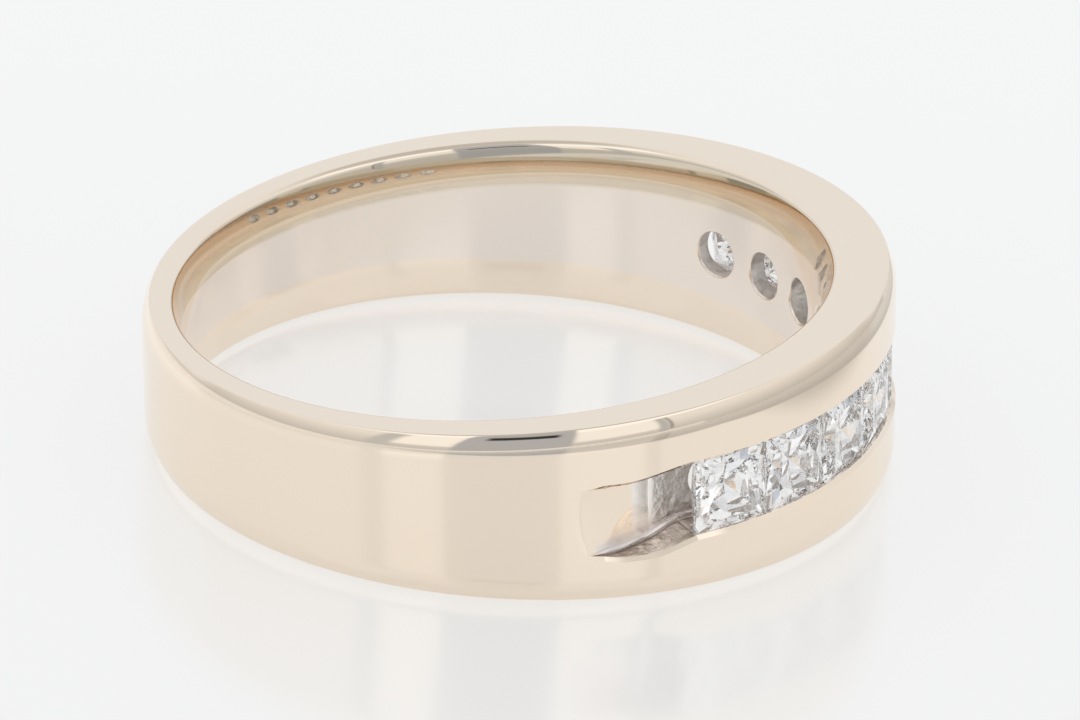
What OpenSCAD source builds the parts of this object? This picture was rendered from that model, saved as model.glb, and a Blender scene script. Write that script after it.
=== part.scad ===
// Channel set band: a polished gold ring with a row of square stones sunk in a channel.
// The ring lies on one flat side, as it would by itself. The origin is the centre of the
// finger hole, the head with the stones is towards +X, and +Z is up.
// Each part is drawn in the ring's own frame, where Z is the axis of the finger hole, and
// lay_down() then turns it, because the sides taper and the hole leans by half the taper.

/* [Finger hole] */
// Diameter of the finger hole at the middle of its width
finger_d = 17.3; // [16.8:0.05:17.6]
// Diameter where the rounded comfort edge meets a flat side
mouth_d = 17.8; // [17.6:0.05:18.0]
// Radius of the comfort edge's arc
comfort_r = 4; // [3:0.25:5]

/* [Band] */
// Outside diameter of the band
outer_d = 20.19; // [20:0.05:20.5]
// Distance from the finger hole's centre to the outside circle's centre, which makes the head thicker
head_offset = 0.43; // [0.3:0.01:0.5]
// Width of the band halfway between the head and the back
mid_width = 4.69; // [4.4:0.05:5]
// Width gained with each millimetre towards the head
width_gain = 0.092; // [0.06:0.002:0.11]
// How far the rounded outer edge reaches in over a flat side
edge_reach = 0.21; // [0.15:0.01:0.3]
// Radius of the rounded outer edge's arc
edge_r = 1.1; // [0.9:0.05:1.3]

/* [Stones] */
// Number of stones in the row
stone_count = 9; // [5:2:9]
// Side of a square stone, across its girdle
stone_w = 2.24; // [2.1:0.01:2.26]
// Gap between the girdles of two stones in the row
stone_gap = 0.028; // [0.02:0.002:0.06]
// How far the flat tops lie below the outside of the band
table_drop = 0.1; // [0.09:0.005:0.13]
// Height from the girdle to the flat top
crown_h = 0.18; // [0.17:0.01:0.22]
// Height of the upright girdle
girdle_h = 0.05; // [0.03:0.01:0.08]
// Depth from the girdle to the point
pavilion_h = 1.25; // [1.1:0.01:1.27]
// Side of the flat top
table_w = 1.56; // [1.4:0.02:1.7]
// How much the corners of the flat top are cut back
table_corner = 0.14; // [0.08:0.01:0.2]

/* [Channel] */
// Width between the two lips over the stones' edges
channel_w = 2.1; // [2.05:0.01:2.14]
// Depth of the channel's floor below the outside
channel_depth = 1.2; // [1.1:0.05:1.3]
// Width of the bevel along each lip
lip_bevel = 0.1; // [0.06:0.01:0.12]
// How far the seat groove reaches into each wall beyond the stones' girdles
seat_clear = 0.04; // [0.03:0.005:0.045]
// Diameter of the hole behind each stone
light_hole_d = 1.3; // [1:0.05:1.4]
// Angle from the end stone's edge to where a run out meets the surface
run_out_angle = 18.3; // [17.5:0.1:19]
// Slope of the run out's floor against the surface where they meet
run_out_slope = 35.6; // [34:0.1:38]
// Radius of the hollow across the run out's floor
run_out_hollow_r = 4; // [3:0.5:6]
// Angle by which the lips' bevels stop short of a run out's end
bevel_stop = 4; // [3:0.5:6]

/* [Hidden] */
$fn = 96;

gold = [0.89, 0.82, 0.73];
diamond = [0.93, 0.95, 0.97];

outer_r = outer_d / 2;
finger_r = finger_d / 2;
mouth_r = mouth_d / 2;
half_taper = atan(width_gain / 2);
// A cut's tool reaches this far past the metal that it takes away
spare = 1;
// Height that clears the widest part of the band
tall = 2 * mid_width;
// The arcs of both edges cross the walls at a slight angle, so they start this far beyond them
arc_overshoot = 0.03;

// The stones' own levels, measured from the outside circle's centre
table_level = outer_r - table_drop;
girdle_top = table_level - crown_h;
girdle_bottom = girdle_top - girdle_h;
floor_level = outer_r - channel_depth;
// A flat girdle's corners lie farther out than its middle
girdle_corner = norm([girdle_top, stone_w / 2]);
pitch = 2 * atan((stone_w + stone_gap) / 2 / girdle_bottom);
row_half = stone_count * pitch / 2;
run_out_start = row_half + run_out_angle;
light_hole_r = light_hole_d / 2;
// The channel's level part ends this angle beyond the row, where the run outs are already open
level_lap = 2.4;
// A run out's tool is longer than its slope, so that it ends inside the level part
tool_stretch = 1.45;
run_out_length = tool_stretch * channel_depth / sin(run_out_slope);
// Height of the sloping bearing cut under each girdle
bearing_h = 0.15;
// Rise of the groove's ceiling from its end to the lip's edge
lip_slope = 0.02;

// Facets of a stone's lower half, as shares of half its width and of its pavilion's depth.
// A rib runs from a corner of the girdle to the point, a crest down the middle of a side.
rib_steps = [[1, 0], [0.66, 0.40], [0.34, 0.72]]; // share of half width, share of depth
crest_steps = [0.78, 0.52, 0.26]; // share of half width
first_crest_depth = 0.38; // share of depth

// Turns the ring so that its lower flat side is level
module lay_down() {
    rotate([0, -half_taper, 0]) children();
}

// Places something on the outside circle's axis, with Z along the finger hole
module about_outer_axis() {
    translate([head_offset, 0, 0]) children();
}

// Places something on a flat side, above the point x along the middle line: side 1 is the upper
// flat side and -1 the lower one. Z then points out of the metal.
module on_side(side, x) {
    translate([x, 0, side * (mid_width + width_gain * x) / 2])
        rotate([0, -side * half_taper, 0])
            rotate([side > 0 ? 0 : 180, 0, 0]) children();
}

// What a flat side cuts away: everything beyond it
module beyond_side(side) {
    on_side(side, 0)
        translate([-2 * outer_r, -2 * outer_r, 0]) cube([4 * outer_r, 4 * outer_r, tall]);
}

// The ring of metal that the rounded outer edge takes away
module outer_edge_cut(side) {
    arc_x = outer_r + arc_overshoot - edge_r;
    arc_z = -sqrt(pow(edge_r, 2) - pow(outer_r - edge_reach - arc_x, 2));
    on_side(side, head_offset)
        rotate_extrude()
            translate([arc_x, arc_z])
                difference() {
                    square([edge_r + spare, edge_r]);
                    circle(r = edge_r);
                }
}

// The funnel of metal that the comfort edge takes away
module comfort_cut(side) {
    arc_x = finger_r - arc_overshoot + comfort_r;
    arc_z = -sqrt(pow(comfort_r, 2) - pow(arc_x - mouth_r, 2));
    on_side(side, 0)
        rotate_extrude()
            difference() {
                translate([0, arc_z]) square([mouth_r + spare / 2, spare - arc_z]);
                translate([arc_x, arc_z]) circle(r = comfort_r);
            }
}

// The band before its channel is cut: an eccentric ring with tapered flat sides
module blank() {
    difference() {
        about_outer_axis() cylinder(r = outer_r, h = tall, center = true);
        cylinder(r = finger_r, h = tall + spare, center = true);
        for (side = [-1, 1]) {
            beyond_side(side);
            outer_edge_cut(side);
            comfort_cut(side);
        }
    }
}

// A groove with the given half profile, swept round the outside circle to both sides of the head
module sweep_groove(half_angle) {
    about_outer_axis()
        rotate([0, 0, -half_angle])
            rotate_extrude(angle = 2 * half_angle)
                children();
}

// The channel from one run out to the other, with straight walls and one round floor
module channel_cut() {
    difference() {
        union() {
            sweep_groove(row_half + level_lap)
                translate([floor_level - spare / 2, -channel_w / 2])
                    square([channel_depth + 2 * spare, channel_w]);
            run_out();
            mirror([0, 1, 0]) run_out();
        }
        about_outer_axis() cylinder(r = floor_level, h = tall, center = true);
    }
}

// The tool of one run out: the floor rises on a straight slope, hollow across, to the surface
module run_out() {
    about_outer_axis()
        rotate([0, 0, run_out_start])
            translate([outer_r, 0, 0])
                rotate([0, 0, -run_out_slope])
                    intersection() {
                        translate([run_out_hollow_r, spare, 0])
                            rotate([90, 0, 0])
                                cylinder(r = run_out_hollow_r, h = run_out_length + spare);
                        translate([-spare, -run_out_length, -channel_w / 2])
                            cube([channel_depth + 2 * spare, run_out_length + spare, channel_w]);
                    }
}

// The bevel along both lips
module lip_cut() {
    rim = channel_w / 2 + lip_bevel;
    over = spare / 2;
    sweep_groove(run_out_start - bevel_stop)
        polygon([
            [outer_r - lip_bevel, -channel_w / 2],
            [outer_r + over, -rim - over],
            [outer_r + over, rim + over],
            [outer_r - lip_bevel, channel_w / 2]
        ]);
}

// The grooves in the walls that hold the stones by their girdles
module seat_cut() {
    wall = channel_w / 2;
    seat = stone_w / 2 + seat_clear;
    top = girdle_corner + seat_clear;
    low = girdle_bottom - seat_clear;
    sweep_groove(row_half)
        polygon([
            [low - bearing_h, -wall], [low, -seat], [top, -seat], [top + lip_slope, -wall],
            [top + lip_slope, wall], [top, seat], [low, seat], [low - bearing_h, wall]
        ]);
}

// The holes drilled from the finger side, one behind each stone
module light_holes() {
    for (i = [1 : stone_count])
        at_stone(i)
            translate([0, 0, floor_level - channel_depth])
                cylinder(r = light_hole_r, h = channel_depth + spare / 2);
}

// Places something in the row, with Z along the radius through stone i and its origin on the axis
module at_stone(i) {
    about_outer_axis()
        rotate([0, 0, (i - (stone_count + 1) / 2) * pitch])
            rotate([0, 90, 0])
                children();
}

module band() {
    color(gold)
        lay_down()
            difference() {
                blank();
                channel_cut();
                lip_cut();
                seat_cut();
                light_holes();
            }
}

// The height of the plane through a, b and c above the point (x, 0)
function plane_height(a, b, c, x) =
    let (n = cross(b - a, c - a)) a[2] - (n[0] * (x - a[0]) - n[1] * a[1]) / n[2];

// Points of one rib and of one crest, from the girdle down. Each crest point after the first lies
// in the plane of the last crest point and the two rib points beside it, so that facet is flat.
ribs = [for (s = rib_steps) [s[0] * stone_w / 2, s[0] * stone_w / 2, -s[1] * pavilion_h]];
crest_1 = [crest_steps[0] * stone_w / 2, 0, -first_crest_depth * pavilion_h];
function crest(k) = k == 0
    ? crest_1
    : let (x = crest_steps[k] * stone_w / 2) [x, 0, plane_height(ribs[k - 1], crest(k - 1), ribs[k], x)];

// A point turned by k quarters about the stone's axis
function quarter(p, k) = [
    p[0] * cos(90 * k) - p[1] * sin(90 * k),
    p[0] * sin(90 * k) + p[1] * cos(90 * k),
    p[2]
];

// One quarter's points: ribs, crests, girdle corner and the two corners of the flat top
steps = len(rib_steps);
one_quarter = concat(
    ribs,
    [for (k = [0 : steps - 1]) crest(k)],
    [
        [stone_w / 2, stone_w / 2, girdle_h],
        [table_w / 2, table_w / 2 - table_corner, girdle_h + crown_h],
        [table_w / 2 - table_corner, table_w / 2, girdle_h + crown_h]
    ]
);
per_quarter = len(one_quarter);
stone_points = concat(
    [[0, 0, -pavilion_h]],
    [for (k = [0 : 3]) for (p = one_quarter) quarter(p, k)]
);
// Place in stone_points of entry e of quarter k
function at(k, e) = 1 + per_quarter * ((k + 4) % 4) + e;
// Entries of one quarter
function rib(j) = j;
function crest_at(j) = steps + j;
girdle = 2 * steps;
table_a = girdle + 1;
table_b = girdle + 2;

stone_faces = concat(
    // The flat top
    [[for (k = [3 : -1 : 0]) each [at(k, table_b), at(k, table_a)]]],
    [for (k = [0 : 3]) each concat(
        [
            // Crown: a corner facet and a side facet
            [at(k, table_a), at(k, table_b), at(k, girdle)],
            [at(k, table_a), at(k, girdle), at(k - 1, girdle), at(k - 1, table_b)],
            // Girdle, then the steep facet under it
            [at(k, girdle), at(k, rib(0)), at(k - 1, rib(0)), at(k - 1, girdle)],
            [at(k, rib(0)), at(k, crest_at(0)), at(k - 1, rib(0))]
        ],
        // Chevrons on both sides of the crest, then the two facets at the point
        [for (j = [1 : steps - 1])
            [at(k, rib(j - 1)), at(k, rib(j)), at(k, crest_at(j)), at(k, crest_at(j - 1))]],
        [for (j = [1 : steps - 1])
            [at(k - 1, rib(j - 1)), at(k, crest_at(j - 1)), at(k, crest_at(j)), at(k - 1, rib(j))]],
        [
            [at(k, rib(steps - 1)), 0, at(k, crest_at(steps - 1))],
            [at(k - 1, rib(steps - 1)), at(k, crest_at(steps - 1)), 0]
        ]
    )]
);

module stone(i) {
    color(diamond)
        lay_down()
            at_stone(i)
                translate([0, 0, girdle_bottom])
                    polyhedron(points = stone_points, faces = stone_faces);
}

band();
for (i = [1 : stone_count])
    stone(i);
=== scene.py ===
# %% [markdown]
# A channel set band, dressed for the camera
#
# The part is a polished gold ring with nine square stones sunk in a channel. The imported CAD
# model holds its sizes and its place, and this script gives it its looks. Nearly all that an
# eye sees of polished metal is what the metal mirrors, so two things carry the picture: a
# surface that is smooth to the last micrometre, and a studio that is worth mirroring.
#
# The work goes in this order: the frame, the camera, the studio, the ring's metal, its
# finishes and the stones.

# %% The frame and the units
import math

import bmesh
import bpy
import numpy as np
from mathutils import Matrix, Vector


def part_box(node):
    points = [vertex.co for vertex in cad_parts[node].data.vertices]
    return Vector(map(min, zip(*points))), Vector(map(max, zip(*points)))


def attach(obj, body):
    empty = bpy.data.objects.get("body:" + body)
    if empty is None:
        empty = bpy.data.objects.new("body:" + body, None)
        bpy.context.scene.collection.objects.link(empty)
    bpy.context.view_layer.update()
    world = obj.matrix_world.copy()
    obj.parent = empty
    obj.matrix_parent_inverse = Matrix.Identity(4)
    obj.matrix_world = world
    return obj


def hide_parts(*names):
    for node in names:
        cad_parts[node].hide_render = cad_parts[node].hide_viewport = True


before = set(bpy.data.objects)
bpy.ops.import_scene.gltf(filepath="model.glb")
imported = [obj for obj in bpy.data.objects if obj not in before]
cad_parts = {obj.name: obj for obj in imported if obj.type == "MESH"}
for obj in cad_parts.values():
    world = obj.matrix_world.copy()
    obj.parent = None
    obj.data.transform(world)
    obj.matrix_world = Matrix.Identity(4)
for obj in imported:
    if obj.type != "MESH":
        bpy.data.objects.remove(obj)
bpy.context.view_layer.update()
MM = 0.001

# %% [markdown]
# The driving sizes of the ring, in millimetres
#
# The CAD band has slightly bent edges where its arcs cross its walls, because exact solids
# dislike surfaces that only just touch. The real ring was turned and polished, so its curves
# run into each other without a line, and here each arc is made tangent to its wall. The
# outside radius is read from the frame, and most of the rest are the design's own sizes.
#
# Handwork leaves forms that the plain solid doesn't have, and these sizes are the picture's
# own: the polishing wheel's roundings, and the two run outs, which are curved in their depth.
# The one in front is a little askew as well, because its lips were filed by eye.

# %% Sizes of the ring
low_corner, high_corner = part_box("band")
OUTER_R = round((high_corner.y - low_corner.y) / 2 / MM, 3)
HEAD_OFFSET = 0.43     # the outside circle's centre lies this far towards the head
FINGER_R = 8.65        # the finger hole at the middle of its width
MOUTH_R = 8.86         # and where the comfort edge meets a flat side, once it is polished
COMFORT_R = 4.0        # radius of the comfort edge
MID_WIDTH = 4.69       # width of the band halfway between head and back
WIDTH_GAIN = 0.092     # width gained with each millimetre towards the head
EDGE_R = 1.1           # radius of the rounded outer edge
EDGE_REACH = 0.21      # how far it reaches in over a flat side
POLISH_R = 0.06        # even a crisp edge is rounded this much by the polishing wheel
MOUTH_POLISH_R = 0.25  # the comfort edge's rim, which the wheel rounds far more
LEAN = math.atan(WIDTH_GAIN / 2)
print("outside radius", OUTER_R, "mm; the finger hole leans", round(math.degrees(LEAN), 2), "degrees")

# %% Sizes of the channel and of the row of stones
STONE_COUNT = 9
PITCH = math.radians(13.243)        # angle from one stone to the next
ROW_HALF = STONE_COUNT * PITCH / 2
CHANNEL_HALF = 1.05                 # half the width between the lips
CHANNEL_DEPTH = 1.2
FLOOR_R = OUTER_R - CHANNEL_DEPTH
LIP_BEVEL = 0.1
FILLET_R = 0.2                      # the graver leaves the floor's corners this round
SEAT_REACH = 0.11                   # how far a seat groove reaches into a wall
SEAT_LEVELS = (9.925, 9.905, 9.725, 9.575)   # the groove's ceiling, its wall and its bearing
RUN_OUT_START = ROW_HALF + math.radians(17.5)   # where a run out starts to leave the outside
RUN_OUT_LENGTH = 3.0                # along the outside, from there to the level floor
BOWL = 1.8                          # how much it bends on the way: 1 would be a straight slope
HOLLOW_R = 10.0                     # and across: radius of the hollow that the burr left
ASKEW = 0.28                        # the front run out's upper lip comes in this far
BULGE = 0.27                        # and its lower lip swings out this far
HOLE_R = 0.65                       # light hole
HOLE_RIM = 0.05                     # rounding of its rims
CELL_HALF = 0.8                     # each light hole lies in a cell that reaches this far each way
print("the row spans", round(math.degrees(2 * ROW_HALF), 1), "degrees of the ring")

# %% [markdown]
# The camera
#
# The lens is long, as for any jewel: from close by, the near edge would swell. A camera is
# placed by two angles and a distance from the point that it looks at, and then rolled a
# little about its own line of sight, because nobody levels a camera to a tenth of a degree.

# %% Camera
VIEW_AZIMUTH = math.radians(1.82)
VIEW_ELEVATION = math.radians(25.27)
VIEW_ROLL = math.radians(2.46)
VIEW_DISTANCE = 260 * MM
SENSOR, LENS = 36, 323      # mm: a long lens
AIM = Vector((0.99, -0.01, -0.08)) * MM


def direction(azimuth, elevation):
    """Unit vector towards an azimuth and elevation: (sin a cos e, -cos a cos e, sin e)."""
    flat = math.cos(elevation)
    return Vector((math.sin(azimuth) * flat, -math.cos(azimuth) * flat, math.sin(elevation)))


def place_camera():
    """Camera at AIM plus the view distance along its direction, rolled about its own Z."""
    back = direction(VIEW_AZIMUTH, VIEW_ELEVATION)
    data = bpy.data.cameras.new("Camera")
    data.sensor_width, data.lens = SENSOR, LENS
    data.clip_start, data.clip_end = 0.01, 10
    camera = bpy.data.objects.new("Camera", data)
    turn = back.to_track_quat("Z", "Y").to_matrix().to_4x4() @ Matrix.Rotation(VIEW_ROLL, 4, "Z")
    camera.matrix_world = Matrix.Translation(AIM + back * VIEW_DISTANCE) @ turn
    bpy.context.scene.collection.objects.link(camera)
    bpy.context.scene.camera = camera
    return camera


camera = place_camera()
print("camera at", [round(c / MM, 1) for c in camera.location], "mm")

# %% [markdown]
# Words for shader nodes
#
# A material is a graph of nodes. Linked by hand, one sum takes five lines and the thought gets
# lost among the sockets, and a ready made node group would hide its numbers. So each kind of
# node that is needed gets a small function, which takes numbers, colours or other nodes'
# outputs and gives back its own output. A material then reads like a formula.

# %% Node helpers


def shader(name):
    """A new material, its node tree and its Principled shader."""
    material = bpy.data.materials.new(name)
    material.use_nodes = True
    return material, material.node_tree, material.node_tree.nodes["Principled BSDF"]


def feed(tree, socket, value):
    """Gives a socket its value: another node's output, a colour (r, g, b) or a number."""
    if isinstance(value, bpy.types.NodeSocket):
        tree.links.new(value, socket)
    elif isinstance(value, tuple):
        socket.default_value = (*value, 1)
    else:
        socket.default_value = value


def compute(tree, operation, *values):
    """Output of a Math node on numbers or other nodes' outputs."""
    node = tree.nodes.new("ShaderNodeMath")
    node.operation = operation
    for socket, value in zip(node.inputs, values):
        feed(tree, socket, value)
    return node.outputs[0]


def span(tree, value, low, high, from_low=0.0, from_high=1.0, way="LINEAR"):
    """From low to high while the value goes from from_low to from_high, and level beyond them.

    The way there is a straight line, or with SMOOTHSTEP an S: s^2 (3 - 2 s) for its share s.
    """
    node = tree.nodes.new("ShaderNodeMapRange")
    node.interpolation_type = way
    numbers = {"Value": value, "From Min": from_low, "From Max": from_high, "To Min": low, "To Max": high}
    for name, number in numbers.items():
        feed(tree, node.inputs[name], number)
    return node.outputs["Result"]


# %% Node helpers for colour and pattern


def blend(tree, factor, a, b):
    """Colour a where the factor is 0 and b where it is 1, and (1 - factor) a + factor b between."""
    node = tree.nodes.new("ShaderNodeMix")
    node.data_type = "RGBA"
    for name, value in {"Factor": factor, "A": a, "B": b}.items():
        feed(tree, node.inputs[name], value)
    return node.outputs["Result"]


def on_object(tree):
    """The place on the object, in metres."""
    return tree.nodes.new("ShaderNodeTexCoord").outputs["Object"]


def noise(tree, place, scale, detail=2):
    """Smooth noise from 0 to 1, in clouds about 1 / scale metres wide."""
    node = tree.nodes.new("ShaderNodeTexNoise")
    for name, value in {"Vector": place, "Scale": scale, "Detail": detail}.items():
        feed(tree, node.inputs[name], value)
    return node.outputs["Fac"]

# %% [markdown]
# The floor
#
# The ring lies on a light table: a sheet of opal acrylic, lit from below just enough to drown
# the ring's shadow, which is how jewellers get a white ground. The sheet is polished, so at a
# low angle it mirrors the ring and the studio. A polished sheet of plastic throws light back
# from its skin and again from its opal core, and the coat stands for the second of the two.
#
# The lamp under the sheet is not endless. It stops a little way right of the ring, and right in
# front of it, outside the picture. The rounded edge of the ring mirrors what lies there, and the
# dim ground gives it the soft grey line that shows how round it is.

# %% The light table's sheet
# An edge of the lamp: the direction across it, and where its light starts to fade and is gone, in mm
LAMP_EDGES = (
    ((1.0, 0.0, 0.0), 17.4, 20.5),          # right
    ((0.643, -0.766, 0.0), 21.0, 25.0),     # right in front
)
LAMP_LIGHT, STRAY_LIGHT = 0.655, 0.20   # glow of the sheet over the lamp and beyond it
OPAL_COLOUR = (0.22, 0.22, 0.217)
GLOW_COLOUR = (1, 0.995, 0.985)
SKIN_BLUR = (0.14, 0.22)     # roughness of the skin, from its clearest spots to its dullest
CORE_BLUR = 0.13             # and of the opal core under it
BLUR_CLOUDS = 30             # for each metre, so the polish changes in clouds of some 30 mm


def lamp_shadow(tree, place):
    """0 over the lamp and 1 beyond it: the larger of a soft step across each of its edges."""
    unlit = 0.0
    for across, start, end in LAMP_EDGES:
        reach = tree.nodes.new("ShaderNodeVectorMath")
        reach.operation = "DOT_PRODUCT"
        tree.links.new(place, reach.inputs[0])
        reach.inputs[1].default_value = across
        fade = span(tree, reach.outputs["Value"], 0.0, 1.0, start * MM, end * MM, "SMOOTHSTEP")
        unlit = compute(tree, "MAXIMUM", fade, unlit)
    return unlit


def floor_material():
    """Opal acrylic: a matt core that glows over the lamp, under a polish whose blur changes slowly."""
    material, tree, surface = shader("opal_acrylic")
    place = on_object(tree)
    glow = span(tree, lamp_shadow(tree, place), LAMP_LIGHT, STRAY_LIGHT)
    blur = span(tree, noise(tree, place, BLUR_CLOUDS), *SKIN_BLUR)
    settings = {"Base Color": OPAL_COLOUR, "Roughness": blur, "Coat Weight": 1, "Coat Roughness": CORE_BLUR,
                "Emission Color": GLOW_COLOUR, "Emission Strength": glow}
    for name, value in settings.items():
        feed(tree, surface.inputs[name], value)
    return material


# %% The floor


def make_floor(half_side=4.0):
    """A square sheet, at the height of the ring's lowest point."""
    z = low_corner.z
    signs = ((-1, -1), (1, -1), (1, 1), (-1, 1))
    mesh = bpy.data.meshes.new("floor")
    mesh.from_pydata([(a * half_side, b * half_side, z) for a, b in signs], [], [(0, 1, 2, 3)])
    floor = bpy.data.objects.new("floor", mesh)
    mesh.materials.append(floor_material())
    bpy.context.scene.collection.objects.link(floor)
    return floor


floor = make_floor()
print("floor at z =", round(low_corner.z / MM, 4), "mm")

# %% [markdown]
# The light
#
# The ring stands in a tent of white cloth, lit from outside, so light comes from everywhere.
# A polished ring in a perfectly even tent would look like chalk: its form is drawn by what
# isn't white. Here that is the gap in the front of the tent, where the camera looks in, the
# folds and the pole beside it, the dim foot of the walls and the duller roof. All of it depends
# on the direction of the light alone, as soft edged windows in azimuth and elevation: light
# from infinitely far, no noise.

# %% Studio light
GAP_AZIMUTH = 2.06      # degrees: the gap is where the camera stands
# Light of the cloth by elevation in degrees, from the foot of the tent to its roof
TENT_BY_ELEVATION = ((0, 0.58), (14, 0.72), (27, 0.86), (45, 0.90), (60, 0.75), (70, 0.58), (90, 0.55))
# A window: its azimuth from the gap's middle, left and right; its elevation, bottom and top; how
# soft its edge is; and its light
WINDOWS = (
    ("back panel", 128, 180, 5, 60, 6, (0.86, 0.885, 0.92)),
    ("back panel, other half", -180, -108, 5, 60, 6, (0.86, 0.885, 0.92)),
    ("front panel left", -41, -21, 12, 42, 3, (1.02, 1.03, 1.03)),
    ("front panel right", 14, 41, 12, 42, 3, (0.98, 0.99, 1.00)),
    ("fold left", -47, -40, -20, 38, 2, (0.58, 0.60, 0.62)),
    ("fold right", 40.5, 43.5, -20, 38, 1, (0.52, 0.54, 0.56)),
    ("pole", 43.8, 44.8, 6, 38, 0.5, (0.32, 0.32, 0.32)),
    ("strip lamp", -75, 80, 38, 56, 3, (1.12, 1.13, 1.15)),
    ("gap", -21, 14.2, -20, 62, 1, (0.47, 0.50, 0.55)),
    ("camera", -14, 9, 30, 37, 1.5, (0.04, 0.04, 0.04)),
    ("table's far edge", -180, 55, -1, 2.5, 0.8, (0.86, 0.86, 0.86)),
    ("table's far edge, behind", 140, 180, -1, 2.5, 0.8, (0.86, 0.86, 0.86)),
)

# %% Cloth and windows


def cloth_light(tree, elevation):
    """Light of the bare cloth: straight lines between the values of TENT_BY_ELEVATION."""
    curve = tree.nodes.new("ShaderNodeValToRGB")
    tree.links.new(compute(tree, "DIVIDE", elevation, 90), curve.inputs["Fac"])
    stops = curve.color_ramp.elements
    while len(stops) < len(TENT_BY_ELEVATION):
        stops.new(0.5)
    for stop, (at, light) in zip(stops, TENT_BY_ELEVATION):
        stop.position = at / 90
        stop.color = (light, light, light, 1)
    return curve.outputs["Color"]


def soft_step(tree, angle, edge, soft):
    """0 below edge - soft, 1 above edge + soft, and smooth in between."""
    return span(tree, angle, 0.0, 1.0, edge - soft, edge + soft, "SMOOTHSTEP")


def window_mask(tree, azimuth, elevation, left, right, bottom, top, soft):
    """1 inside a window and 0 outside: the product of the steps at its edges.

    A window that ends at the seam of the azimuth, at 180 degrees, has no step there.
    """
    above, below = (soft_step(tree, elevation, edge, soft) for edge in (bottom, top))
    inside = compute(tree, "SUBTRACT", above, below)
    if left > -180:
        inside = compute(tree, "MULTIPLY", inside, soft_step(tree, azimuth, left, soft))
    if right < 180:
        not_past = compute(tree, "SUBTRACT", 1, soft_step(tree, azimuth, right, soft))
        inside = compute(tree, "MULTIPLY", inside, not_past)
    return inside


# %% The world around the ring


def make_light():
    """World light: the cloth's, with each window laid over it by its mask.

    For a direction (x, y, z), the elevation is asin(z) and the azimuth is atan2(x, -y), counted
    from the middle of the gap.
    """
    world = bpy.data.worlds.new("tent")
    world.use_nodes = True
    bpy.context.scene.world = world
    tree = world.node_tree
    toward = tree.nodes.new("ShaderNodeSeparateXYZ")
    tree.links.new(tree.nodes.new("ShaderNodeTexCoord").outputs["Generated"], toward.inputs[0])
    x, y, z = toward.outputs
    elevation = compute(tree, "DEGREES", compute(tree, "ARCSINE", z))
    turned = compute(tree, "ARCTAN2", x, compute(tree, "MULTIPLY", y, -1))
    azimuth = compute(tree, "SUBTRACT", compute(tree, "DEGREES", turned), GAP_AZIMUTH)
    light = cloth_light(tree, elevation)
    for name, left, right, bottom, top, soft, colour in WINDOWS:
        inside = window_mask(tree, azimuth, elevation, left, right, bottom, top, soft)
        light = blend(tree, inside, light, colour)
    feed(tree, tree.nodes["Background"].inputs["Color"], light)
    return world


world = make_light()
bpy.context.scene.view_settings.view_transform = "Standard"
# A ray goes to and fro many times inside a stone, and between the walls of the channel
paths = bpy.context.scene.cycles
paths.max_bounces, paths.glossy_bounces, paths.transmission_bounces = 32, 24, 32
print("the tent has", len(WINDOWS), "windows")

# %% [markdown]
# How the metal's surface is laid out
#
# Any cut through the ring by a half plane that starts at the outside circle's axis shows one
# closed outline: the outer wall, a rounded edge, a flat side, the comfort edge, the finger
# wall, and the same back again, with the channel let into the outer wall at the head. So the
# whole surface is a grid: its columns are such half planes at angles around the ring, and its
# rows run round the outline. Each row is a pair of arrays over all columns at once, the
# distance r from the axis and the height z along it. A box modeller with a bevel tool could
# make the plain ring as well, but the run outs and the holes need control of every line.

# %% Columns
STEPS_PER_STONE = 14
RUN_OUT_COLUMNS = 70
BACK_COLUMNS = 150
RUN_OUT_END = RUN_OUT_START + math.radians(4.4)


def columns():
    """Angles of all columns, once round, and whether each lies in the row of stones.

    The two columns at the ends of the row are there twice, so that the seat groove can stop.
    Behind the run outs the columns are denser at both ends: t - 0.8 sin(2 pi t) / (2 pi).
    """
    row = np.linspace(-ROW_HALF, ROW_HALF, STONE_COUNT * STEPS_PER_STONE + 1)
    run_out = np.linspace(ROW_HALF, RUN_OUT_END, RUN_OUT_COLUMNS)
    t = np.linspace(0, 1, BACK_COLUMNS)[1:-1]
    t = t - 0.8 * np.sin(2 * np.pi * t) / (2 * np.pi)
    back = RUN_OUT_END + (2 * np.pi - 2 * RUN_OUT_END) * t
    angles = np.concatenate([row, run_out, back, 2 * np.pi - run_out[::-1]])
    return angles, np.arange(len(angles)) < len(row)


THETA, IN_ROW = columns()
print("columns:", len(THETA))

# %% Helpers for rows


def to_finger_circle(theta, rho):
    """Distance from the outside axis, at angle theta, to the circle of radius rho about the finger axis.

    The circle's centre lies at -HEAD_OFFSET, so r = -h cos(theta) + sqrt(rho^2 - h^2 sin^2(theta)).
    """
    return -HEAD_OFFSET * np.cos(theta) + np.sqrt(rho ** 2 - (HEAD_OFFSET * np.sin(theta)) ** 2)


def side_height(r):
    """Height of the flat side: half the width, which grows with x = h + r cos(theta)."""
    return (MID_WIDTH + WIDTH_GAIN * (HEAD_OFFSET + r * np.cos(THETA))) / 2


def with_supports(count, near=0.02):
    """Shares from 0 to 1 with an extra one close to each end, which keeps the shading of a long
    plain stretch from being bent by the curve that it runs into."""
    return np.concatenate([[0, near], np.linspace(0, 1, count)[1:-1], [1 - near, 1]])


def rounded_min(a, b, width):
    """The smaller of a and b, rounded off where they are within width of each other:
    with t = clip(0.5 + (b - a) / (2 width), 0, 1) it is b + (a - b) t - width t (1 - t)."""
    t = np.clip(0.5 + 0.5 * (b - a) / width, 0, 1)
    return b + (a - b) * t - width * t * (1 - t)


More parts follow.
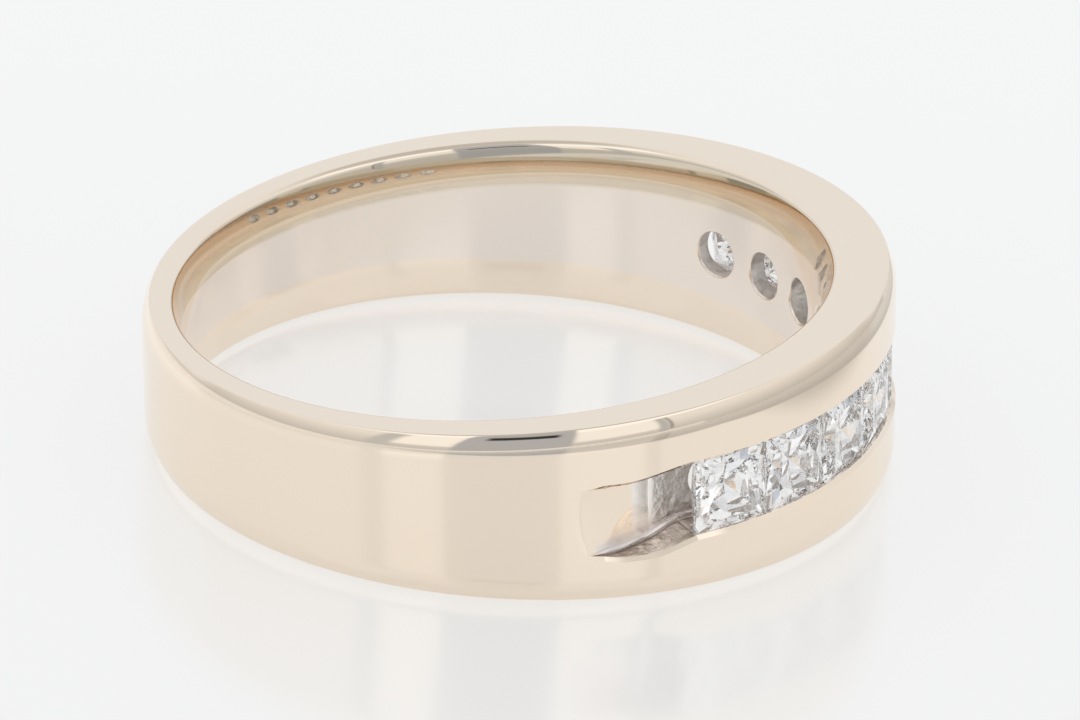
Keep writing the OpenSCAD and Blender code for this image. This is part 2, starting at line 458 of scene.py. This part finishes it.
# %% [markdown]
# The floor of the channel
#
# Under the stones the floor is a level band round the ring. At both ends the setter's burr
# came out of the metal on a curve, like the bowl of a spoon: steep at the outside, and level
# where it meets the floor. With u the share of the run out's length, the depth is
# CHANNEL_DEPTH (1 - (1 - u)^BOWL). Across, the belly of the burr left it a little hollow: at
# height z it lies R - sqrt(R^2 - z^2) higher than along its middle, with R = HOLLOW_R, and
# less and less so towards the floor.

# %% Channel floor
MOUTH_ROUNDING = 0.05    # the edge where the run out meets the outside, at the walls
BUFFED = 0.22            # and this much softer in the middle, where the buffing wheel reached


def channel_floor(z):
    """Distance r of the channel's floor from the outside axis, over all columns, at height z."""
    theta = np.abs((THETA + np.pi) % (2 * np.pi) - np.pi)
    u = np.minimum(OUTER_R * (RUN_OUT_START - theta) / RUN_OUT_LENGTH, 1)
    depth = CHANNEL_DEPTH * np.where(u > 0, 1 - (1 - u) ** BOWL, BOWL * u)
    hollow = (HOLLOW_R - np.sqrt(HOLLOW_R ** 2 - z ** 2)) * (1 - u)
    mouth = MOUTH_ROUNDING + BUFFED * (1 - np.clip(z / CHANNEL_HALF, -1, 1) ** 2)
    r = rounded_min(OUTER_R, OUTER_R - depth + hollow, mouth)
    return np.where(theta > RUN_OUT_END - 1e-6, OUTER_R, r)


middle_depth = OUTER_R - channel_floor(0)
print("the run outs and the row take up", int((middle_depth > 0.01).sum()), "columns")

# %% [markdown]
# The lips of the channel
#
# Along the row the two lips are parallel, because the stones need it. At the front run out
# they leave that line: the upper lip comes in a little, and the lower one swings out to a
# point and back, as happens when the end of a channel is trued with a file, by eye. Smooth
# ramps over the angle do it, so that the lips have no kink where they start to move. They
# carry a small bevel, which shrinks with the depth of the wall under it.

# %% Lips
# Angles from the head at which the lips have moved
SWUNG_OUT, SWINGS_BACK, MOVED_IN, BACK_AGAIN = (math.radians(angle) for angle in (67, 70, 72, 80))


def ramp(value, start, end):
    """0 up to start, 1 from end, and s^2 (3 - 2 s) in between, with s the share of the way."""
    s = np.clip((value - start) / (end - start), 0, 1)
    return s * s * (3 - 2 * s)


# On the far side of the ring the angle counts as 0, so the lips stay straight there
FROM_HEAD = np.where(THETA > np.pi, 2 * np.pi - THETA, 0)
SWING = ramp(FROM_HEAD, ROW_HALF - 0.02, SWUNG_OUT) * (1 - ramp(FROM_HEAD, SWINGS_BACK, BACK_AGAIN))
LOWER_HALF = CHANNEL_HALF + BULGE * SWING
UPPER_HALF = CHANNEL_HALF - ASKEW * ramp(FROM_HEAD, ROW_HALF, MOVED_IN)


def lip_bevel(half):
    """Width of the lip's bevel, less where the channel runs out: at most 0.35 of the wall's depth."""
    return np.minimum(LIP_BEVEL, 0.35 * (OUTER_R - channel_floor(half)))


print("channel is", round(OUTER_R - channel_floor(LOWER_HALF).min(), 3), "mm deep at its walls")

# %% [markdown]
# The outline of the upper half, row by row
#
# It starts at the top of the channel's wall and goes over the lip, up the outer wall, round
# the edge, in along the flat side, and down the comfort edge to the finger wall. The lower
# half is made in the same way from its own lip, and then turned over.

# %% Profile of an edge


def edge_profile(radius, reach, polish, big_steps, small_steps):
    """Points (p, q) of a rounded edge, from its wall to the flat side: p is the distance in from
    the wall and q the distance below the flat side.

    The big arc starts tangent to the wall, and a small one joins it to the flat side. The small
    circle's centre lies polish below the flat side and radius - polish from the big one's centre,
    so its p is radius - sqrt((radius - polish)^2 - (sink - polish)^2).
    """
    sink = radius * math.sin(math.acos((radius - reach) / radius))
    small_p = radius - math.sqrt((radius - polish) ** 2 - (sink - polish) ** 2)
    touch = math.atan2(sink - polish, radius - small_p)
    big = [(radius - radius * math.cos(a), sink - radius * math.sin(a))
           for a in np.linspace(0, touch, big_steps)[1:]]
    small = [(small_p - polish * math.cos(a), polish - polish * math.sin(a))
             for a in np.linspace(touch, math.pi / 2, small_steps)[1:]]
    return big + small


COMFORT_SINK = COMFORT_R * math.sin(math.acos((COMFORT_R - MOUTH_R + FINGER_R) / COMFORT_R))
print("the comfort edge reaches", round(COMFORT_SINK, 2), "mm into the finger hole")

# %% Rows of one half


def rows_of_one_half(half):
    """Rows (r, z) over all columns from the lip of a channel wall at height half to the finger wall."""
    one = np.ones_like(THETA)
    bevel = lip_bevel(half)
    rows = []

    # Lip: a straight bevel from the wall to the outside
    for t in (0, 0.06, 0.5, 0.94, 1):
        rows.append((OUTER_R - bevel * (1 - t), half + bevel * t))

    # Outer wall, and the rounded outer edge with p measured in from the outside
    outer_edge = edge_profile(EDGE_R, EDGE_REACH, POLISH_R, 15, 6)
    foot = side_height(OUTER_R) - EDGE_R * math.sin(math.acos((EDGE_R - EDGE_REACH) / EDGE_R))
    for t in with_supports(7)[1:]:
        rows.append((OUTER_R * one, half + bevel + t * (foot - half - bevel)))
    for p, q in outer_edge:
        r = (OUTER_R - p) * one
        rows.append((r, side_height(r) - q))

    # Flat side, and the comfort edge with p measured out from the finger wall
    comfort_edge = edge_profile(COMFORT_R, MOUTH_R - FINGER_R, MOUTH_POLISH_R, 19, 12)[::-1]
    flat_outer = (OUTER_R - outer_edge[-1][0]) * one
    flat_inner = to_finger_circle(THETA, FINGER_R + comfort_edge[0][0])
    for t in with_supports(5)[1:-1]:
        r = flat_outer + (flat_inner - flat_outer) * t
        rows.append((r, side_height(r)))
    for p, q in comfort_edge:
        r = to_finger_circle(THETA, FINGER_R + p)
        rows.append((r, side_height(r) - q))
    r = to_finger_circle(THETA, FINGER_R)
    rows.append((r, side_height(r) - COMFORT_SINK))

    # Finger wall, down to the cells of the light holes
    r, z = rows[-1]
    for t in with_supports(4)[1:]:
        rows.append((r, z + (cell_height(z) - z) * t))
    return rows


def cell_height(comfort_foot):
    """Height of the light holes' cells, or less where the comfort edge comes further down."""
    return np.minimum(CELL_HALF, comfort_foot - 0.08)


UPPER, LOWER = rows_of_one_half(UPPER_HALF), rows_of_one_half(LOWER_HALF)
print("rows in each half:", len(UPPER))

# %% [markdown]
# The channel's wall and floor, row by row
#
# The wall goes down past the seat groove, which exists only along the row of stones. Where
# the channel runs out, all levels of the wall are squeezed between the floor and the lip, and
# beyond the run out they fall together in one line, which is welded later.

# %% Rows of the channel
CELL_ROWS = 12


def rows_of_channel_wall(half):
    """From the lip's lower edge down the wall at height half and over the fillet to the cells.

    A level that the floor has risen past stays on it, and the fillet takes at most 0.55 of the
    wall's depth: its points are z = half - f (1 - sin a), r = floor + f (1 - cos a).
    """
    lip = OUTER_R - lip_bevel(half)
    fillet = np.minimum(FILLET_R, 0.55 * (OUTER_R - channel_floor(half)))
    foot = np.minimum(channel_floor(half) + fillet, lip)
    deep = half + SEAT_REACH * IN_ROW
    ceiling, seat_top, seat_low, bearing = SEAT_LEVELS
    levels = [(lip - 0.004, half), (ceiling, half), (seat_top, deep), (seat_low, deep), (bearing, half)]
    rows = [(np.clip(level, foot, lip), z) for level, z in levels]
    middle = foot + (np.minimum(bearing, lip) - foot) * 0.5
    rows.append((np.clip(middle, foot, lip), half))
    for a in np.linspace(math.pi / 2, 0, 9):
        z = half - fillet * (1 - math.sin(a))
        rows.append((np.minimum(channel_floor(z) + fillet * (1 - math.cos(a)), lip), z))
    z = np.minimum(half - fillet - 0.02, 1.0)
    rows.append((channel_floor(z), z))
    return rows


def grid_points(rows):
    """Points of a list of (r, z) rows, as an array [row, column, xyz] in the ring's own frame."""
    r = np.array([np.broadcast_to(r, THETA.shape) for r, z in rows])
    z = np.array([np.broadcast_to(z, THETA.shape) for r, z in rows])
    return np.stack([HEAD_OFFSET + r * np.cos(THETA), r * np.sin(THETA), z], axis=-1)


def mirrored(rows):
    """The same rows on the other side of the ring's middle plane, in the opposite order."""
    return [(r, -z) for r, z in rows[::-1]]


UPPER_WALL, LOWER_WALL = rows_of_channel_wall(UPPER_HALF), rows_of_channel_wall(LOWER_HALF)
print("rows in each wall of the channel:", len(UPPER_WALL))

# %% [markdown]
# The light holes
#
# Behind each stone a hole is drilled from the finger side. On the grid each hole takes a
# rectangular cell, one stone wide, out of the finger wall and out of the channel's floor.
# The cell is filled with rings that change from the rectangle to the circle, then the circle
# dips over a small rim and runs as a tube from one surface to the other. A boolean cut would
# do it too, but it leaves long thin faces that show in a mirror.

# %% Rings of one hole


def cell_edge(finger_z):
    """Angles, about the stone's own radius, and heights of a cell's edge, once round in grid steps."""
    across, up = STEPS_PER_STONE, CELL_ROWS
    a = np.linspace(-PITCH / 2, PITCH / 2, across + 1)
    z = np.linspace(-finger_z, finger_z, up + 1)
    turn = np.concatenate([a[:-1], np.full(up, a[-1]), a[:0:-1], np.full(up, a[0])])
    height = np.concatenate([np.full(across, z[0]), z[:-1], np.full(across, z[-1]), z[:0:-1]])
    return turn, height


def hole(stone):
    """Rings from the finger wall's cell edge, through the hole, to the floor's cell edge.

    A point is u along the tangent, w along the height and v out along the stone's radius. The
    finger wall is v = -h cos(m) + sqrt(R^2 - (u - h sin(m))^2) for a stone at angle m, and the
    floor is v = sqrt(FLOOR_R^2 - u^2).
    """
    middle = (stone - (STONE_COUNT + 1) / 2) * PITCH
    turn, height = cell_edge(CELL_HALF)

    def finger_wall(u):
        """v of the finger wall at u."""
        shifted = u - HEAD_OFFSET * math.sin(middle)
        return -HEAD_OFFSET * math.cos(middle) + np.sqrt(FINGER_R ** 2 - shifted ** 2)

    def channel_bed(u):
        """v of the channel's floor at u."""
        return np.sqrt(FLOOR_R ** 2 - u ** 2)

    def from_edge_to_rim(edge_u, surface, into_metal):
        """Rings straight from the cell's edge to the rim's circle, then a quarter circle into the hole.

        At an angle b on the rim, rho = HOLE_R + HOLE_RIM (1 - sin b), HOLE_RIM (1 - cos b) deep.
        """
        rim_u, rim_w = (HOLE_R + HOLE_RIM) * np.cos(around), (HOLE_R + HOLE_RIM) * np.sin(around)
        rings = []
        for t in (0, 0.3, 0.6, 0.85, 0.97, 1):
            u, w = edge_u + (rim_u - edge_u) * t, height + (rim_w - height) * t
            rings.append((u, w, surface(u)))
        for b in np.linspace(0, math.pi / 2, 6)[1:]:
            rho = HOLE_R + HOLE_RIM * (1 - math.sin(b))
            u, w = rho * np.cos(around), rho * np.sin(around)
            rings.append((u, w, surface(u) + into_metal * HOLE_RIM * (1 - math.cos(b))))
        return rings

    finger_u = to_finger_circle(middle + turn, FINGER_R) * np.sin(turn)
    floor_u = FLOOR_R * np.sin(turn)
    around = np.arctan2(height, finger_u)
    inner = from_edge_to_rim(finger_u, finger_wall, 1)
    outer = from_edge_to_rim(floor_u, channel_bed, -1)[::-1]
    u, w, start = inner[-1]
    finish = outer[0][2]
    tube = [(u, w, start + (finish - start) * t) for t in (0.04, 0.35, 0.65, 0.96)]
    u, w, v = (np.array(part) for part in zip(*(inner + tube + outer)))
    x = HEAD_OFFSET + v * math.cos(middle) - u * math.sin(middle)
    y = v * math.sin(middle) + u * math.cos(middle)
    return np.stack([x, y, w], axis=-1)


# %% [markdown]
# From sheets of points to one closed mesh
#
# Every sheet is an array of points, and its faces are the little squares between neighbours.
# Sheets share the points along their edges, so welding equal points closes the surface, and
# a square whose corners fell together vanishes. Normals are then turned outwards in one go,
# and the open edges and the volume are printed: a closed mesh has the solid's own volume.

# %% Faces of a sheet, and the turn that lays the ring down


def sheet_faces(shape, wrap_rows, skip=None):
    """Corner numbers of all squares of a [row, column] sheet that closes round its columns."""
    row_count, column_count = shape
    number = np.arange(row_count * column_count).reshape(shape)
    below = number if wrap_rows else number[:-1]
    above = np.roll(number, -1, axis=0) if wrap_rows else number[1:]
    squares = np.stack([below, np.roll(below, -1, axis=1), np.roll(above, -1, axis=1), above], axis=-1)
    if skip is not None:
        squares = squares[~skip]
    return squares.reshape(-1, 4)


def lay_down(points):
    """The ring's own frame to the part's: turned about Y until the lower flat side is level, in metres."""
    x, y, z = points[..., 0], points[..., 1], points[..., 2]
    level_x = x * math.cos(LEAN) - z * math.sin(LEAN)
    level_z = x * math.sin(LEAN) + z * math.cos(LEAN)
    return np.stack([level_x, y, level_z], axis=-1) * MM

# %% Welding


def closed_mesh(name, sheets, sharp_angle):
    """Welds sheets, given as (points, faces), into one mesh object and marks its sharp edges."""
    points, faces, start = [], [], 0
    for sheet, squares in sheets:
        flat = sheet.reshape(-1, 3)
        points.append(flat)
        faces.append(squares + start)
        start += len(flat)
    mesh = bpy.data.meshes.new(name)
    mesh.from_pydata(lay_down(np.concatenate(points)), [], np.concatenate(faces))
    work = bmesh.new()
    work.from_mesh(mesh)
    bmesh.ops.remove_doubles(work, verts=work.verts, dist=2e-8)
    bmesh.ops.recalc_face_normals(work, faces=work.faces)
    open_edges = sum(not edge.is_manifold for edge in work.edges)
    volume = work.calc_volume(signed=True) / MM ** 3
    work.to_mesh(mesh)
    work.free()
    mesh.shade_smooth()
    mesh.set_sharp_from_angle(angle=sharp_angle)
    piece = bpy.data.objects.new(name, mesh)
    bpy.context.scene.collection.objects.link(piece)
    triangles = sum(len(face.vertices) - 2 for face in mesh.polygons)
    print(f"{name}: {triangles} triangles, {open_edges} open edges, {volume:.1f} cubic mm")
    return piece

# %% The band's metal


def make_band():
    """The ring's metal: all rows of the outline, with the cells left out of them, and nine holes."""
    finger_r, finger_z = UPPER[-1]
    finger = [(finger_r, finger_z * t) for t in np.linspace(1, -1, CELL_ROWS + 1)[1:-1]]
    lower_end = -CELL_HALF * np.ones_like(THETA)
    upper_end = np.minimum(CELL_HALF, UPPER_WALL[-1][1] - 0.02)
    bed = [(channel_floor(z), z) for z in np.linspace(lower_end, upper_end, CELL_ROWS + 1)]
    rows = UPPER + finger + mirrored(LOWER) + mirrored(LOWER_WALL)[::-1] + bed + UPPER_WALL[::-1]
    points = grid_points(rows)
    skip = np.zeros(points.shape[:2], bool)
    row_columns = slice(0, STONE_COUNT * STEPS_PER_STONE)
    first = len(UPPER) - 1
    skip[first:first + CELL_ROWS, row_columns] = True
    first = 2 * len(UPPER) + len(finger) + len(LOWER_WALL)
    skip[first:first + CELL_ROWS, row_columns] = True
    sheets = [(points, sheet_faces(points.shape[:2], True, skip))]
    for stone in range(1, STONE_COUNT + 1):
        rings = hole(stone)
        sheets.append((rings, sheet_faces(rings.shape[:2], False)))
    return closed_mesh("band_metal", sheets, math.radians(28))


# %% [markdown]
# Where the plating is left, where shade and reflection are painted, and where the polish stops
#
# White gold is an alloy of gold with paler metals, and bare it has a warm champagne tone. New
# rings are plated with rhodium, which is whiter. The polishing wheel has since taken the
# plating off wherever it reaches, so it is left in the corners and on the bed of the channel
# and in the light holes. The straight part of the finger wall gets 0.6 of the same cooler tint
# as painted reflection, for the cool, shaded floor that it mirrors. Nothing at all has rubbed
# the plating on the bed, where it is as bright as new. No wheel gets down there either: the
# walls of the channel and the floor beside and under the stones are as the graver cut them,
# and the light holes as the drill did. The upper comfort edge gets a darker tint as painted
# shade, for the dim reflection that it shows.
#
# Each of these is a share from 0 to 1 for every point of the mesh, worked out from where the
# point lies and which way it faces. It is stored on the mesh, where the material reads it.
# Painting the shares by hand would do as well, but would have to be done again after each
# change of a size.

# %% The points in the ring's own frame


def stood_up(mesh, reading):
    """The points' places ("co") or normals ("normal") as x, y and height in the ring's own frame.

    It undoes lay_down: x = X cos(LEAN) + Z sin(LEAN), height = Z cos(LEAN) - X sin(LEAN).
    """
    flat = np.empty(3 * len(mesh.vertices))
    mesh.vertices.foreach_get(reading, flat)
    level_x, y, level_z = flat.reshape(-1, 3).T
    x = level_x * math.cos(LEAN) + level_z * math.sin(LEAN)
    height = level_z * math.cos(LEAN) - level_x * math.sin(LEAN)
    return x, y, height


# %% Shares of each finish, and of painted shade and reflection


def mark_finish_and_painted_light(mesh):
    """Stores four shares, 0 to 1, on each point: plating with painted reflection, unworn plating, raw metal
    and painted shade.

    In the ring's own frame, r is the distance from the outside axis, depth is the outside radius
    less r, rho is the distance from the finger axis and z is the distance from the middle plane,
    all in mm. A share is a product of ramps over these:
    - the bed starts 0.82 to 0.92 mm deep, and is unworn up to its fillets
    - the floor is as it was cut from 1.04 to 1.1 mm deep on, beside the row and under it
    - a wall is where the normal lies along the axis, and raw below the lip
    - a fillet lies beside the walls, where z is more than 0.8 to 0.9
    - the finger wall between the comfort edges gets 0.6 of the plating share as painted
      reflection, and the painted shade starts where it ends
    """
    x, y, height = (part / MM for part in stood_up(mesh, "co"))
    along_axis = np.abs(stood_up(mesh, "normal")[2])
    z, rho, r = np.abs(height), np.hypot(x, y), np.hypot(x - HEAD_OFFSET, y)
    depth = OUTER_R - r

    # The channel
    in_channel = (x > 1) * (z < CHANNEL_HALF + BULGE + 0.05) * (depth > 0.03)
    in_channel = in_channel * ramp(rho, FINGER_R + 0.04, FINGER_R + 0.08)
    bed = in_channel * ramp(depth, 0.82, 0.92)
    as_cut = in_channel * ramp(depth, 1.04, 1.1) * ramp(x, 4.15, 4.35) * (1 - ramp(z, 0.8, 0.9))
    wall = in_channel * ramp(along_axis, 0.9, 0.99) * ramp(depth, 0.25, 0.4)
    fillet = in_channel * ramp(z, 0.8, 0.9) * ramp(depth, 0.08, 0.2) * (1 - 0.5 * wall)

    # The finger wall and the light holes
    straight = (MID_WIDTH + WIDTH_GAIN * x) / 2 - COMFORT_SINK
    # The finger wall between the comfort edges, which gets a painted reflection
    finger = (1 - ramp(rho, FINGER_R + 0.01, FINGER_R + 0.04)) * (1 - ramp(z, straight, straight + 0.12))
    drilled = ramp(rho, FINGER_R + 0.03, FINGER_R + 0.1) * (r < FLOOR_R - 0.03) * (z < HOLE_R + HOLE_RIM)
    # The upper comfort edge, which gets the painted shade
    upper_comfort = (1 - ramp(rho, MOUTH_R - 0.08, MOUTH_R)) * (height > CELL_HALF)

    shares = {
        # The finger wall's 0.6 is painted reflection, a cooler tint for the cool floor it mirrors; the bed
        # and fillets are plating
        "plating_and_painted_reflection": np.maximum(np.maximum(bed, fillet), 0.6 * finger),
        "unworn": bed * (1 - ramp(z, 0.75, 0.9)),
        "raw": np.maximum(0.35 * drilled, 0.8 * np.maximum(as_cut, wall)),
        # Painted shade: the upper comfort edge is darkened for the dim reflection that it shows
        "painted_shade": upper_comfort * (1 - finger) * (1 - in_channel),
    }
    for name, share in shares.items():
        mesh.attributes.new(name, "FLOAT", "POINT").data.foreach_set("value", share.astype(np.float32))
        print("mean share of", name, round(float(share.mean()), 2))


# %% The band, in place of the CAD band
band = make_band()
mark_finish_and_painted_light(band.data)
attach(band, "root")
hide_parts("band")

# %% [markdown]
# Polished gold
#
# A metal has no colour of its own beyond the tint of its mirror, so that tint is the base
# colour. It goes from gold to rhodium with the share of plating and painted reflection, and
# the painted shade makes it darker. The polish is high but not perfect: the wheel leaves a
# slight waviness and a fine haze. Where the metal is raw, its mirror is blurred and broken up
# by the marks of the tool. So three reliefs are laid over each other: the waves, the marks of
# the tool, and the finest marks of the wheel.
#
# All of it is worked out in the space of the object, from smooth noise. Its scales are waves
# for each metre, so 250 means clouds about 4 mm wide.

# %% Gold
GOLD_TINTS = (0.918, 0.797, 0.660), (0.934, 0.816, 0.684)   # the alloy is never quite even
# Painted shade: a darker tint on the upper comfort edge, for the dim reflection there
PAINTED_SHADE_TINT = (0.73, 0.65, 0.53)
# Worn plating in the channel, and painted reflection on the finger wall: a cooler tint
WORN_RHODIUM_AND_REFLECTION_TINT = (0.86, 0.80, 0.765)
NEW_RHODIUM_TINT = (0.98, 0.94, 0.895)
HAZE = (0.02, 0.07)      # roughness of the polish, from the best to the worst
PLATED_BLUR = 0.15       # roughness that plating adds
RAW_BLUR = 0.25          # roughness that raw metal adds
WAVE_HEIGHT = 0.012      # mm: a wave about 8 mm long and this high bends a reflection by half a degree
GRAVER_HEIGHT = 0.1      # mm: marks of the tool in raw metal
WHEEL_HEIGHT = 0.004     # mm: finest marks of the wheel

# %% Reliefs and shares


def bump(tree, height, strength, distance, under=None):
    """Normal of a relief, distance mm high where the height is 1, over the relief under it."""
    node = tree.nodes.new("ShaderNodeBump")
    settings = {"Height": height, "Strength": strength, "Distance": distance * MM}
    if under is not None:
        settings["Normal"] = under
    for name, value in settings.items():
        feed(tree, node.inputs[name], value)
    return node.outputs["Normal"]


def stored(tree, name):
    """One of the shares that mark_finish_and_painted_light stored on the mesh."""
    node = tree.nodes.new("ShaderNodeAttribute")
    node.attribute_name = name
    return node.outputs["Fac"]


# %% The gold's tint, roughness and relief


def gold_tint(tree, place):
    """Uneven gold, with the painted shade, the worn rhodium with painted reflection and the new rhodium
    laid over it by their shares.
    """
    gold = blend(tree, noise(tree, place, 250), *GOLD_TINTS)
    # Painted shade on the upper comfort edge
    gold = blend(tree, stored(tree, "painted_shade"), gold, PAINTED_SHADE_TINT)
    # Plating in the channel, and painted reflection on the finger wall
    rhodium_and_reflection = blend(tree, stored(tree, "plating_and_painted_reflection"), gold, WORN_RHODIUM_AND_REFLECTION_TINT)
    return blend(tree, stored(tree, "unworn"), rhodium_and_reflection, NEW_RHODIUM_TINT)


def gold_roughness(tree, place):
    """Haze + 0.15 plating + 0.25 raw."""
    haze = span(tree, noise(tree, place, 900, 3), *HAZE)
    rhodium_and_reflection = span(tree, stored(tree, "plating_and_painted_reflection"), 0.0, PLATED_BLUR)
    raw = span(tree, stored(tree, "raw"), 0.0, RAW_BLUR)
    return compute(tree, "ADD", compute(tree, "ADD", haze, rhodium_and_reflection), raw)


def gold_relief(tree, place):
    """Wide waves, then the marks of the tool times the raw share, then the wheel's finest marks."""
    waves = bump(tree, noise(tree, place, 130, 0), 1.0, WAVE_HEIGHT)
    marks = compute(tree, "MULTIPLY", stored(tree, "raw"), noise(tree, place, 3000))
    cut = bump(tree, marks, 1.0, GRAVER_HEIGHT, waves)
    return bump(tree, noise(tree, place, 2500), 0.12, WHEEL_HEIGHT, cut)


# %% The gold itself


def gold_material():
    """A mirror whose tint, roughness and normal change over the object."""
    material, tree, surface = shader("polished_gold")
    place = on_object(tree)
    settings = {"Metallic": 1, "Base Color": gold_tint(tree, place),
                "Roughness": gold_roughness(tree, place), "Normal": gold_relief(tree, place)}
    for name, value in settings.items():
        feed(tree, surface.inputs[name], value)
    return material


band.data.materials.append(gold_material())
print("gold's nodes:", len(band.data.materials[0].node_tree.nodes))

# %% [markdown]
# The stones
#
# A square brilliant bends light strongly, so most of what enters its flat top is thrown back
# out of it. That needs real facets and a real refractive index, and no painted sparkle: the
# CAD nodes have their facets, and the glass shader has the index of the material.

# %% Stones
DIAMOND_IOR = 2.42
STONE_TINTS = (0.994, 0.994, 0.997), (1, 1, 1)     # very slightly uneven


def stone_material():
    """Clear glass with a diamond's refractive index.

    Light that meets a facet from inside at more than 24.4 degrees from the facet's normal, since
    sin 24.4 = 1 / 2.42, can't leave and is thrown back.
    """
    material, tree, surface = shader("clear_stone")
    tint = blend(tree, noise(tree, on_object(tree), 700), *STONE_TINTS)
    settings = {"Base Color": tint, "Transmission Weight": 1, "IOR": DIAMOND_IOR, "Roughness": 0}
    for name, value in settings.items():
        feed(tree, surface.inputs[name], value)
    return material


clear = stone_material()
for number in range(1, STONE_COUNT + 1):
    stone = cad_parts[f"stone_{number}"]
    stone.data.materials.clear()
    stone.data.materials.append(clear)
print("stones dressed:", STONE_COUNT)
